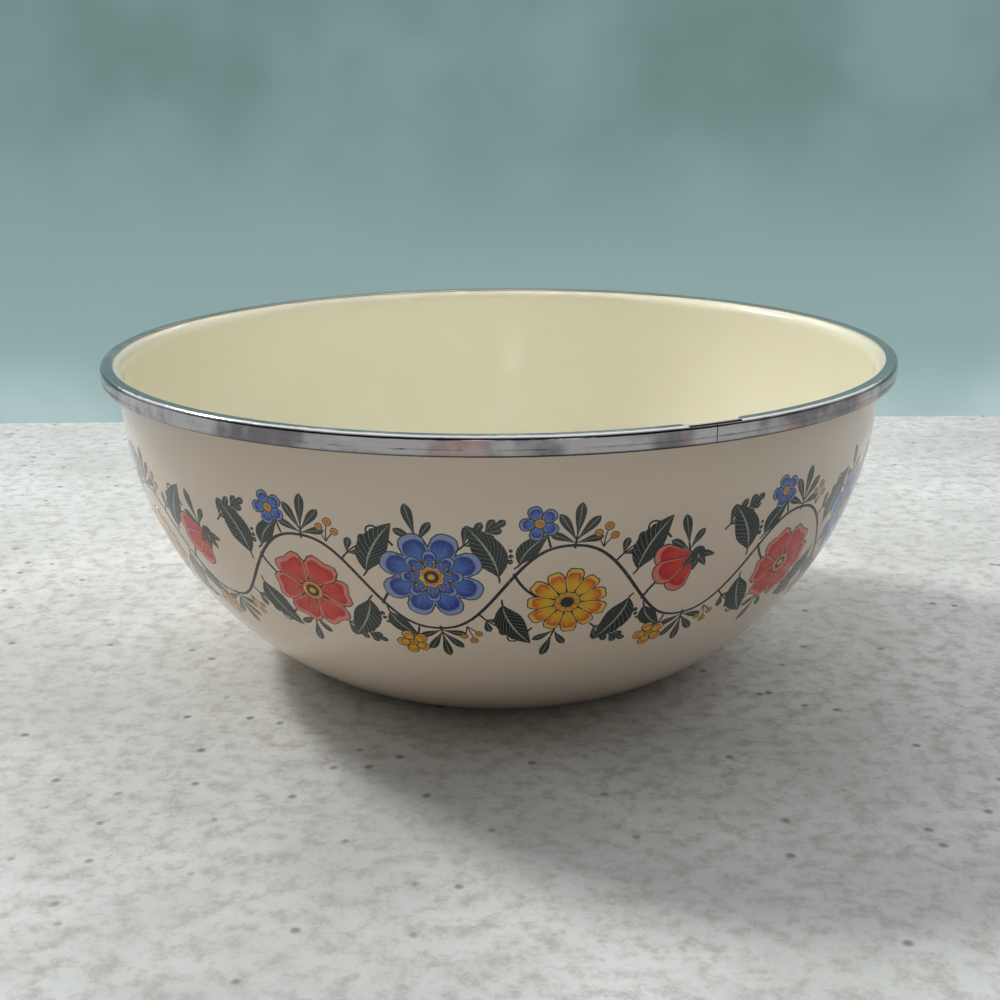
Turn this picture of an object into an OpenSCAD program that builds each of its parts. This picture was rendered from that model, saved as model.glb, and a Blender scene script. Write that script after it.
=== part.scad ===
// Enamel mixing bowl: a pressed steel bowl, enamelled inside and out, with a stainless strip round its rim.
// The origin is the centre of the base, where it stands, with +Z up and the front of the bowl towards -Y.
// All sizes are in millimetres.

/* [Bowl] */
// Diameter over the rim strip
rim_d = 260; // [220:1:340]
// Height from the table to the top of the rim strip
bowl_h = 103.5; // [85:0.1:130]
// Diameter of the flat base
base_d = 122.8; // [90:0.1:150]
// Radius of the corner between base and wall, outside
foot_r = 19.5; // [12:0.1:26]
// Upright stretch of the wall between its curve and the flare of the rim
upright_h = 2.7; // [1:0.1:8]

/* [Sheet and enamel] */
// Thickness of the pressed steel
steel_t = 0.8; // [0.5:0.05:1.2]
// Thickness of each coat of enamel
coat_t = 0.3; // [0.15:0.05:0.5]

/* [Turned rim] */
// How far the turned rim stands out from the wall, under the strip
flange_w = 4.95; // [3.5:0.05:8]
// Width of the flat crown between the flare and the outer bend
crown_w = 0.8; // [0.4:0.1:1.2]
// Radius inside the outer bend
bend_r = 0.4; // [0.2:0.05:0.8]
// Width of the cream enamel's edge on the crown
cream_edge_w = 0.35; // [0.1:0.05:0.35]

/* [Rim strip] */
// Thickness of the stainless strip
strip_t = 0.4; // [0.25:0.05:0.6]
// Height of the strip outside the bowl
strip_h = 5.7; // [4.5:0.1:7.5]
// How far the strip's lip reaches down the flare, in degrees round it
lip_deg = 9; // [4:1:40]
// Width of the hem that closes below the turned edge
hem_w = 1.2; // [0.4:0.1:2]
// Clearance between the strip and what it wraps
strip_gap = 0.1; // [0.05:0.01:0.2]

/* [Seam] */
// Where the strip's ends meet, turned from +X
seam_deg = -64; // [-180:1:180]
// Gap between the strip's ends
seam_gap = 0.25; // [0.1:0.05:0.6]
// Length of the notch that is trimmed from the lip across the seam
notch_l = 17; // [8:0.5:30]
// Length of the slant at each end of the notch
notch_slant_l = 1.6; // [0.5:0.1:3]
// Width of the strip's top that is left standing outside the notch
notch_land_w = 0.75; // [0.5:0.05:2]

/* [Hidden] */

// Facets of every circle and turn, and how far a cut runs past what it cuts
$fn = 180;
overrun = 1;

// Stretches of a section run into each other, so that they join at any size. A straight one runs on into a
// bend until it would stand this proud of it
proud_t = 0.0002;
function run_on(bend) = sqrt(2 * bend * proud_t);

// Wall thickness, and where its layers lie, counted inwards from the bowl's outer surface
wall_t = steel_t + 2 * coat_t;
steel_from = coat_t;
steel_to = coat_t + steel_t;
strip_from = wall_t + strip_gap;
strip_to = strip_from + strip_t;

// Wall outside the bowl, the flare that turns it out, and the outer bend that turns it down. The flare takes
// what the crown and the outer bend leave
mouth_r = rim_d / 2 - strip_t - strip_gap - flange_w;
bend_x = mouth_r + flange_w - wall_t - bend_r;
bend_z = bowl_h - strip_to - bend_r;
flare_r = bend_x - crown_w - mouth_r;
flare_x = mouth_r + flare_r;
flare_z = bend_z + bend_r - flare_r;
bend_centre = [bend_x, bend_z];
flare_centre = [flare_x, flare_z];
cream_edge_x = flare_x + cream_edge_w;

// Turned-down edge, with its two corners rounded, which the hem of the strip goes round
edge_corner_share = 3 / 8;
edge_corner_r = steel_t * edge_corner_share;
edge_half_flat = steel_t / 2 - edge_corner_r;
hem_r = steel_t / 2 + coat_t + strip_gap;
edge_x = bend_x + bend_r + steel_from + steel_t / 2;
edge_z = bowl_h - strip_h + hem_r + strip_t;
edge_near_corner = [edge_x - edge_half_flat, edge_z];
edge_far_corner = [edge_x + edge_half_flat, edge_z];

// Where the straight stretches of the rim end, run on into its bends
bend_run = run_on(bend_r);
flare_run = run_on(flare_r);
crown_near_x = flare_x - flare_run;
crown_far_x = bend_x + bend_run;
skirt_top_z = bend_z + bend_run;
edge_run = run_on(edge_corner_r);
skirt_low_z = edge_z - edge_run;

// The wall is one arc, tangent to the base's corner below and upright where it meets the collar
base_r = base_d / 2;
wall_z = flare_z - upright_h;
spread = mouth_r - base_r;
rise = wall_z - foot_r;
wall_r = (spread * spread + rise * rise - foot_r * foot_r) / (2 * (spread - foot_r));
wall_x = mouth_r - wall_r;
foot_deg = -atan2(rise, base_r - wall_x);
foot_centre = [base_r, foot_r];
wall_centre = [wall_x, wall_z];
wall_reach = 2 * wall_r;
foot_run = run_on(foot_r);
wall_from_deg = foot_deg - atan(foot_run / wall_r);
collar_low_z = wall_z - run_on(wall_r);

// Seam notch
notch_r = rim_d / 2 - notch_land_w;
lip_r = flare_x - (flare_r + strip_to) * sin(lip_deg);

// Flat ring between two radii
module ring(centre, r_in, r_out) {
    translate(centre) difference() {
        circle(r = r_out);
        circle(r = r_in);
    }
}

// Wedge from a centre between two angles, up to half a turn
module wedge(centre, reach, from_deg, to_deg) {
    corners = 4;
    step = (to_deg - from_deg) / corners;
    polygon(concat(
        [centre],
        [for (i = [0:corners]) centre + reach * [cos(from_deg + i * step), sin(from_deg + i * step)]]
    ));
}

// Part of a flat ring between two radii and two angles, up to half a turn
module ring_part(centre, r_in, r_out, from_deg, to_deg) {
    intersection() {
        ring(centre, r_in, r_out);
        wedge(centre, 2 * r_out, from_deg, to_deg);
    }
}

// Part of a flat ring whose outer side is a row of narrow flats
module flatted_ring_part(centre, r_in, r_out, from_deg, to_deg) {
    difference() {
        wedge(centre, r_out, from_deg, to_deg);
        translate(centre) circle(r = r_in);
    }
}

// Part of a ring of narrow flats on both sides
module folded_ring_part(centre, r_in, r_out, from_deg, to_deg) {
    difference() {
        wedge(centre, r_out, from_deg, to_deg);
        wedge(centre, r_in, from_deg, to_deg);
    }
}

// Stretches of the bowl's section, each between two depths below its outer surface

module base_stretch(from, to) {
    translate([0, from]) square([base_r + foot_run, to - from]);
}

// The corner ends on the line from the wall's centre on which it is tangent to the wall
module foot_stretch(from, to) {
    intersection() {
        ring(foot_centre, foot_r - to, foot_r - from);
        wedge(wall_centre, wall_reach, -90, foot_deg);
        translate([base_r, 0]) square(foot_r);
    }
}

module wall_stretch(from, to) {
    intersection() {
        ring(wall_centre, wall_r - to, wall_r - from);
        wedge(wall_centre, wall_reach, wall_from_deg, 0);
    }
}

module collar_stretch(from, to) {
    translate([mouth_r - to, collar_low_z]) square([to - from, flare_z + flare_run - collar_low_z]);
}

module flare_stretch(from, to, low_deg) {
    ring_part(flare_centre, flare_r + from, flare_r + to, 90, low_deg);
}

module crown_stretch(from, to, near_x, far_x) {
    translate([near_x, bend_z + bend_r + from]) square([far_x - near_x, to - from]);
}

module bend_stretch(from, to) {
    ring_part(bend_centre, bend_r + from, bend_r + to, 0, 90);
}

module skirt_stretch(from, to, high_z) {
    translate([bend_x + bend_r + from, skirt_low_z]) square([to - from, high_z - skirt_low_z]);
}

// The stretches that the steel and both coats share, from the middle of the base to the end of the flare
module bowl_stretches(from, to) {
    base_stretch(from, to);
    foot_stretch(from, to);
    wall_stretch(from, to);
    collar_stretch(from, to);
    flare_stretch(from, to, 180);
}

// Pressed steel, flared and turned down at the rim, with the corners of its edge rounded
module steel_shell() {
    color([0.42, 0.43, 0.45])
    rotate_extrude() {
        bowl_stretches(steel_from, steel_to);
        crown_stretch(steel_from, steel_to, crown_near_x, crown_far_x);
        bend_stretch(steel_from, steel_to);
        skirt_stretch(steel_from, steel_to, skirt_top_z);
        translate(edge_near_corner) circle(r = edge_corner_r);
        translate(edge_far_corner) circle(r = edge_corner_r);
        translate([edge_x - edge_half_flat, edge_z - edge_corner_r])
            square([2 * edge_half_flat, 2 * edge_corner_r]);
    }
}

// Cream enamel inside, which ends as a narrow edge on the crown
module interior_enamel() {
    color([0.93, 0.91, 0.76])
    rotate_extrude() {
        bowl_stretches(steel_to, wall_t);
        crown_stretch(steel_to, wall_t, crown_near_x, cream_edge_x);
    }
}

// Off-white enamel outside, over the base, the wall and the underside of the rim
module exterior_enamel() {
    color([0.90, 0.86, 0.81])
    rotate_extrude() {
        bowl_stretches(0, steel_from);
        crown_stretch(0, steel_from, crown_near_x, crown_far_x);
        bend_stretch(0, steel_from);
    }
}

// Black enamel bead on the crown and round the turned edge, seen only in the notch of the strip
module rim_bead() {
    color([0.05, 0.05, 0.06])
    rotate_extrude() {
        crown_stretch(steel_to, wall_t, cream_edge_x, crown_far_x);
        flatted_ring_part(bend_centre, bend_r + steel_to, bend_r + wall_t, 0, 90);
        skirt_stretch(steel_to, wall_t, skirt_top_z);
        skirt_stretch(0, steel_from, bend_z);
        flatted_ring_part(edge_near_corner, edge_corner_r, edge_corner_r + coat_t, 180, 270);
        flatted_ring_part(edge_far_corner, edge_corner_r, edge_corner_r + coat_t, 270, 360);
        translate([edge_x - edge_half_flat - edge_run, edge_z - edge_corner_r - coat_t])
            square([2 * (edge_half_flat + edge_run), coat_t]);
    }
}

// Section of the stainless strip: lip, crown, outer face and hem, folded round the turned rim
module strip_section() {
    flare_stretch(strip_from, strip_to, 90 + lip_deg);
    crown_stretch(strip_from, strip_to, crown_near_x, crown_far_x);
    folded_ring_part(bend_centre, bend_r + strip_from, bend_r + strip_to, 0, 90);
    skirt_stretch(strip_from, strip_to, skirt_top_z);
    folded_ring_part([edge_x, edge_z], hem_r, hem_r + strip_t, 270, 360);
    translate([edge_x - hem_w, edge_z - hem_r - strip_t]) square([hem_w + edge_run, strip_t]);
}

// What is trimmed from the lip and crown at the seam: a wedge with slanted ends, as far out as the land
module notch_cut() {
    far_l = notch_l - 2 * notch_slant_l;
    near_r = lip_r - overrun;
    intersection() {
        translate([0, 0, edge_z]) linear_extrude(bowl_h + overrun - edge_z) polygon([
            [near_r, -notch_l / 2],
            [lip_r, -notch_l / 2],
            [notch_r, -far_l / 2],
            [notch_r + overrun, -far_l / 2],
            [notch_r + overrun, far_l / 2],
            [notch_r, far_l / 2],
            [lip_r, notch_l / 2],
            [near_r, notch_l / 2]
        ]);
        cylinder(r = notch_r, h = bowl_h + 2 * overrun);
    }
}

// Stainless strip, rolled over the rim, with its ends butted at the seam and the lip notched there
module rim_band() {
    color([0.66, 0.67, 0.69])
    difference() {
        rotate_extrude() strip_section();
        rotate([0, 0, seam_deg]) notch_cut();
        rotate([0, 0, seam_deg]) translate([lip_r - overrun, -seam_gap / 2, 0])
            cube([rim_d / 2 - lip_r + 2 * overrun, seam_gap, bowl_h + overrun]);
    }
}

steel_shell();
interior_enamel();
exterior_enamel();
rim_bead();
rim_band();
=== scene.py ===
"""Enamel mixing bowl: the looks of its coats, its rim strip and its flower transfer, and the studio it stands in.

Lengths are in metres and angles in degrees, except in the transfer, which is drawn flat in millimetres, as on its
sheet, and then laid on the wall. The base's centre is the origin, with +Z up and the front of the bowl towards -Y.
"""

import logging
import math
from collections.abc import Callable
from dataclasses import dataclass
from enum import Enum
from functools import partial

import bpy
import numpy as np
from mathutils import Matrix, Vector


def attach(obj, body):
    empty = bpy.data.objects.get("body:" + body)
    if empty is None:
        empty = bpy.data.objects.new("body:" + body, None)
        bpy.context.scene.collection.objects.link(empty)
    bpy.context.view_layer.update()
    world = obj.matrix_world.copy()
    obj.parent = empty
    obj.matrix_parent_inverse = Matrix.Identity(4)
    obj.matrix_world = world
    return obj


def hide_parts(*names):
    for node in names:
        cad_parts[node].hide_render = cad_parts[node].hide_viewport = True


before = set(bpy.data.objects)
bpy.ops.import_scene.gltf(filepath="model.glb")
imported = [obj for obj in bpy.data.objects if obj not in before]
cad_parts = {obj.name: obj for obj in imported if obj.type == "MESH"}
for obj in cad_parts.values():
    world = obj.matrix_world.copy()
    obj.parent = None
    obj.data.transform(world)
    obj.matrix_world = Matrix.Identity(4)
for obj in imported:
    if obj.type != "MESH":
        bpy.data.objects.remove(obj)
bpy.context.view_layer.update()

log = logging.getLogger("bowl")
BODY = "root"
MM = 0.001
MERGE_GAP = 2e-6
SMOOTH_DEG = 40

Point = tuple[float, float]
Place = tuple[float, float, float]
Colour = tuple[float, float, float]
Numbers = np.ndarray
Rule = Callable[[Numbers, Numbers], tuple[Numbers, Numbers]]
Piece = bpy.types.Object
Socket = bpy.types.NodeSocket


@dataclass(frozen=True)
class BowlSizes:
    """Driving sizes of the bowl, the same as the solid model's."""

    rim_d: float = 0.260
    bowl_h: float = 0.1035
    base_d: float = 0.1228
    foot_r: float = 0.0195
    upright_h: float = 0.0027
    steel_t: float = 0.0008
    coat_t: float = 0.0003
    flange_w: float = 0.00495
    crown_w: float = 0.0008
    bend_r: float = 0.0004
    cream_edge_w: float = 0.00035
    strip_t: float = 0.0004
    strip_h: float = 0.0057
    lip_deg: float = 9.0
    hem_w: float = 0.0012
    strip_gap: float = 0.0001
    seam_deg: float = -64.0
    seam_gap: float = 0.00025
    turn_steps: int = 320

    @property
    def wall_t(self) -> float:
        """Thickness of the steel and both coats."""
        return self.steel_t + 2 * self.coat_t

    @property
    def mouth_r(self) -> float:
        """Outer radius of the upright collar below the rim."""
        return self.rim_d / 2 - self.strip_t - self.strip_gap - self.flange_w

    @property
    def bend(self) -> Point:
        """Centre of the outer bend: its radius and its height."""
        height = self.bowl_h - self.wall_t - self.strip_gap - self.strip_t - self.bend_r
        return self.mouth_r + self.flange_w - self.wall_t - self.bend_r, height

    @property
    def flare_r(self) -> float:
        """Outer radius of the flare that turns the wall out."""
        return self.bend[0] - self.crown_w - self.mouth_r

    @property
    def flare(self) -> Point:
        """Centre of the flare: its radius and its height."""
        return self.mouth_r + self.flare_r, self.crown_z - self.flare_r

    @property
    def crown_z(self) -> float:
        """Height of the crown's underside."""
        return self.bend[1] + self.bend_r

    @property
    def edge_x(self) -> float:
        """Radius of the middle of the turned-down edge."""
        return self.bend[0] + self.bend_r + self.coat_t + self.steel_t / 2

    @property
    def hem_r(self) -> float:
        """Radius inside the strip's hem."""
        return self.steel_t / 2 + self.coat_t + self.strip_gap

    @property
    def edge_z(self) -> float:
        """Height at which the hem starts to turn in."""
        return self.bowl_h - self.strip_h + self.hem_r + self.strip_t

    @property
    def wall_z(self) -> float:
        """Height at which the wall becomes upright, which is also the height of its centre."""
        return self.flare[1] - self.upright_h

    @property
    def wall_r(self) -> float:
        """Works out the wall's one arc, tangent to the foot's corner and to the collar.

        Returns:
            Its radius.
        """
        spread = self.mouth_r - self.base_d / 2
        rise = self.wall_z - self.foot_r
        return (spread**2 + rise**2 - self.foot_r**2) / (2 * (spread - self.foot_r))

    @property
    def wall_x(self) -> float:
        """Distance of the wall arc's centre from the bowl's axis."""
        return self.mouth_r - self.wall_r

    @property
    def foot_deg(self) -> float:
        """Angle on the wall's arc at which the foot's corner meets it."""
        return -math.degrees(math.atan2(self.wall_z - self.foot_r, self.base_d / 2 - self.wall_x))

    def wall_point(self, x_mm: Numbers, y_mm: Numbers, proud: float, turn_deg: float) -> Numbers:
        """Lays points of the flat transfer on the outside of the wall.

        Args:
            x_mm: Places along the transfer, in millimetres round the bowl at GARLAND_Z.
            y_mm: Places up the transfer, in millimetres along the wall from GARLAND_Z.
            proud: How far off the enamel the points lie.
            turn_deg: Angle from +X of the transfer's start.

        Returns:
            The points, one row each.
        """
        slope = WALL_REFERENCE + y_mm * MM / self.wall_r
        round_r = self.wall_x + self.wall_r * math.cos(WALL_REFERENCE)
        turn = math.radians(turn_deg) + x_mm * MM / round_r
        reach = self.wall_r + proud
        out = self.wall_x + reach * np.cos(slope)
        return np.stack([out * np.cos(turn), out * np.sin(turn), self.wall_z + reach * np.sin(slope)], axis=1)


SIZES = BowlSizes()
GARLAND_Z = 0.0575
WALL_REFERENCE = math.asin((GARLAND_Z - SIZES.wall_z) / SIZES.wall_r)
ROUND_MM = 2 * math.pi * (SIZES.wall_x + SIZES.wall_r * math.cos(WALL_REFERENCE)) / MM


def srgb(red: int, green: int, blue: int) -> Colour:
    """Turns a colour of 0 to 255 into the linear one that a shader takes."""
    parts = [c / 255 for c in (red, green, blue)]
    return tuple(p / 12.92 if p <= 0.04045 else ((p + 0.055) / 1.055) ** 2.4 for p in parts)


# --- mesh by operators ---


def only(*pieces: Piece) -> None:
    """Selects these objects and nothing else, and makes the first one active.

    Args:
        pieces: The objects.
    """
    bpy.ops.object.select_all(action="DESELECT")
    for piece in pieces:
        piece.select_set(True)
    bpy.context.view_layer.objects.active = pieces[0]


def primitive(add: Callable, location: Place = (0.0, 0.0, 0.0), **settings: object) -> Piece:
    """Adds a primitive mesh with nothing else selected.

    Args:
        add: The operator that adds it.
        location: Its place.
        settings: The operator's other settings.

    Returns:
        The object.
    """
    bpy.ops.object.select_all(action="DESELECT")
    add(location=location, **settings)
    return bpy.context.active_object


def twin(piece: Piece) -> Piece:
    """Copies an object together with its mesh.

    Args:
        piece: The object.

    Returns:
        The copy.
    """
    copy = piece.copy()
    copy.data = piece.data.copy()
    bpy.context.collection.objects.link(copy)
    return copy


def apply_modifier(piece: Piece, kind: str, **settings: object) -> None:
    """Adds a modifier to a piece and applies it.

    Args:
        piece: The object.
        kind: The modifier's type.
        settings: Its settings by name.
    """
    only(piece)
    modifier = piece.modifiers.new(kind.title(), kind)
    for name, value in settings.items():
        setattr(modifier, name, value)
    bpy.ops.object.modifier_apply(modifier=modifier.name)


class Outline:
    """A profile in the XZ plane, drawn by extruding and spinning one vertex in edit mode."""

    def __init__(self, name: str, x: float, z: float) -> None:
        """Starts the profile.

        Args:
            name: Name of the piece.
            x: Distance of the first vertex from the axis.
            z: Its height.
        """
        self.piece = primitive(bpy.ops.mesh.primitive_plane_add, size=MM)
        self.piece.name = self.piece.data.name = name
        bpy.ops.object.mode_set(mode="EDIT")
        bpy.ops.mesh.select_mode(type="VERT")
        bpy.ops.mesh.select_all(action="SELECT")
        bpy.ops.mesh.merge(type="CENTER")
        bpy.ops.transform.translate(value=(x, 0.0, z))
        self.x, self.z = x, z

    def line(self, x: float, z: float, steps: int = 1) -> "Outline":
        """Extrudes the last vertex to a place.

        Args:
            x: Distance of the place from the axis.
            z: Its height.
            steps: Number of equal edges on the way.

        Returns:
            The outline.
        """
        move = ((x - self.x) / steps, 0.0, (z - self.z) / steps)
        for _ in range(steps):
            bpy.ops.mesh.extrude_vertices_move(TRANSFORM_OT_translate={"value": move})
        self.x, self.z = x, z
        return self

    def arc(self, centre: Point, turn_deg: float, steps: int) -> "Outline":
        """Spins the last vertex round a centre.

        Args:
            centre: Distance of the centre from the axis, and its height.
            turn_deg: Angle, counterclockwise with +X right and +Z up.
            steps: Number of edges.

        Returns:
            The outline.
        """
        cx, cz = centre
        axis = (0.0, 1.0, 0.0) if turn_deg > 0 else (0.0, -1.0, 0.0)
        turn = math.radians(turn_deg)
        bpy.ops.mesh.spin(steps=steps, angle=abs(turn), center=(cx, 0.0, cz), axis=axis)
        dx, dz = self.x - cx, self.z - cz
        self.x = cx + dx * math.cos(turn) - dz * math.sin(turn)
        self.z = cz + dx * math.sin(turn) + dz * math.cos(turn)
        return self

    def turned(self, steps: int) -> Piece:
        """Spins the profile round the bowl's axis, closes it and turns its faces outwards.

        Args:
            steps: Number of steps in the full turn.

        Returns:
            The finished object.
        """
        bpy.ops.mesh.select_all(action="SELECT")
        bpy.ops.mesh.spin(
            steps=steps, angle=2 * math.pi, center=(0.0, 0.0, 0.0), axis=(0.0, 0.0, 1.0), use_auto_merge=True
        )
        bpy.ops.mesh.select_all(action="SELECT")
        bpy.ops.mesh.remove_doubles(threshold=MERGE_GAP)
        bpy.ops.mesh.normals_make_consistent(inside=False)
        bpy.ops.object.mode_set(mode="OBJECT")
        only(self.piece)
        bpy.ops.object.shade_smooth_by_angle(angle=math.radians(SMOOTH_DEG))
        return self.piece


# --- material nodes ---


class Graph:
    """A short way to add and join the nodes of one material or group."""

    def __init__(self, tree: bpy.types.NodeTree) -> None:
        """Keeps the tree whose nodes are added."""
        self.tree = tree

    def add(self, kind: str, values: dict | None = None, **settings: object) -> bpy.types.Node:
        """Adds a node.

        Args:
            kind: The node's type, without its ShaderNode prefix.
            values: What goes into its inputs, as in feed.
            settings: The node's own settings.

        Returns:
            The node.
        """
        node = self.tree.nodes.new("ShaderNode" + kind)
        for name, value in settings.items():
            setattr(node, name, value)
        self.feed(node, values or {})
        return node

    def feed(self, node: bpy.types.Node, values: dict) -> None:
        """Fills a node's inputs: a socket is joined and a value is set.

        Args:
            node: The node.
            values: What goes in, by the input's name or number.
        """
        for name, value in values.items():
            socket = node.inputs[name]
            if isinstance(value, Socket):
                self.tree.links.new(value, socket)
            elif socket.type == "RGBA":
                socket.default_value = (*value[:3], 1.0)
            else:
                socket.default_value = value

    def math(self, operation: str, *values: object, clamp: bool = False) -> Socket:
        """Adds a Math node."""
        return self.add("Math", dict(enumerate(values)), operation=operation, use_clamp=clamp).outputs[0]

    def plus(self, first: object, second: object) -> Socket:
        """Adds two values."""
        return self.math("ADD", first, second)

    def minus(self, first: object, second: object, clamp: bool = False) -> Socket:
        """Takes the second value from the first."""
        return self.math("SUBTRACT", first, second, clamp=clamp)

    def times(self, first: object, second: object) -> Socket:
        """Multiplies two values."""
        return self.math("MULTIPLY", first, second)

    def ramp(self, value: object, low: float, high: float) -> Socket:
        """Gives 0 below one value and 1 above another, with a smooth rise between them."""
        values = {"Value": value, "From Min": low, "From Max": high}
        return self.add("MapRange", values, interpolation_type="SMOOTHSTEP").outputs[0]

    def noise(self, vector: object, scale: float, detail: float = 2.0, rough: float = 0.5) -> Socket:
        """Adds a Noise texture."""
        values = {"Vector": vector, "Scale": scale, "Detail": detail, "Roughness": rough}
        return self.add("TexNoise", values).outputs[0]

    def mix(self, share: object, first: object, second: object) -> Socket:
        """Mixes two colours."""
        return self.add("Mix", {0: share, 6: first, 7: second}, data_type="RGBA").outputs[2]

    def bump(self, strength: float, distance: float, height: Socket) -> Socket:
        """Turns a height into the normal of a relief."""
        return self.add("Bump", {"Strength": strength, "Distance": distance, "Height": height}).outputs[0]


class EffectGroup:
    """A shader node group with named inputs and outputs that more than one material uses."""

    def __init__(self, name: str, inputs: dict[str, tuple[str, float]], outputs: dict[str, str]) -> None:
        """Makes the empty group.

        Args:
            name: The group's name.
            inputs: Type of socket and first value of each input by name.
            outputs: Type of socket of each output by name.
        """
        self.tree = bpy.data.node_groups.new(name, "ShaderNodeTree")
        for label, (kind, value) in inputs.items():
            socket = self.tree.interface.new_socket(label, in_out="INPUT", socket_type="NodeSocket" + kind)
            if kind == "Float":
                socket.default_value = value
        for label, kind in outputs.items():
            self.tree.interface.new_socket(label, in_out="OUTPUT", socket_type="NodeSocket" + kind)
        self.graph = Graph(self.tree)
        self.source = self.tree.nodes.new("NodeGroupInput").outputs
        self.target = self.tree.nodes.new("NodeGroupOutput").inputs

    def give(self, label: str, socket: Socket) -> None:
        """Joins a socket to one of the group's outputs."""
        self.tree.links.new(socket, self.target[label])

    def place(self, graph: Graph, values: dict) -> bpy.types.bpy_prop_collection:
        """Places the group in a material.

        Args:
            graph: The material's graph.
            values: What goes into the group's inputs by name.

        Returns:
            The placed group's outputs.
        """
        node = graph.tree.nodes.new("ShaderNodeGroup")
        node.node_tree = self.tree
        graph.feed(node, values)
        return node.outputs


INK_INPUTS = {
    "Vector": ("Vector", 0.0),
    "Lines": ("Float", 5.0),
    "Line Width": ("Float", 0.12),
    "Line From": ("Float", 0.05),
    "Line To": ("Float", 0.62),
    "Slant": ("Float", 0.0),
}


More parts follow.
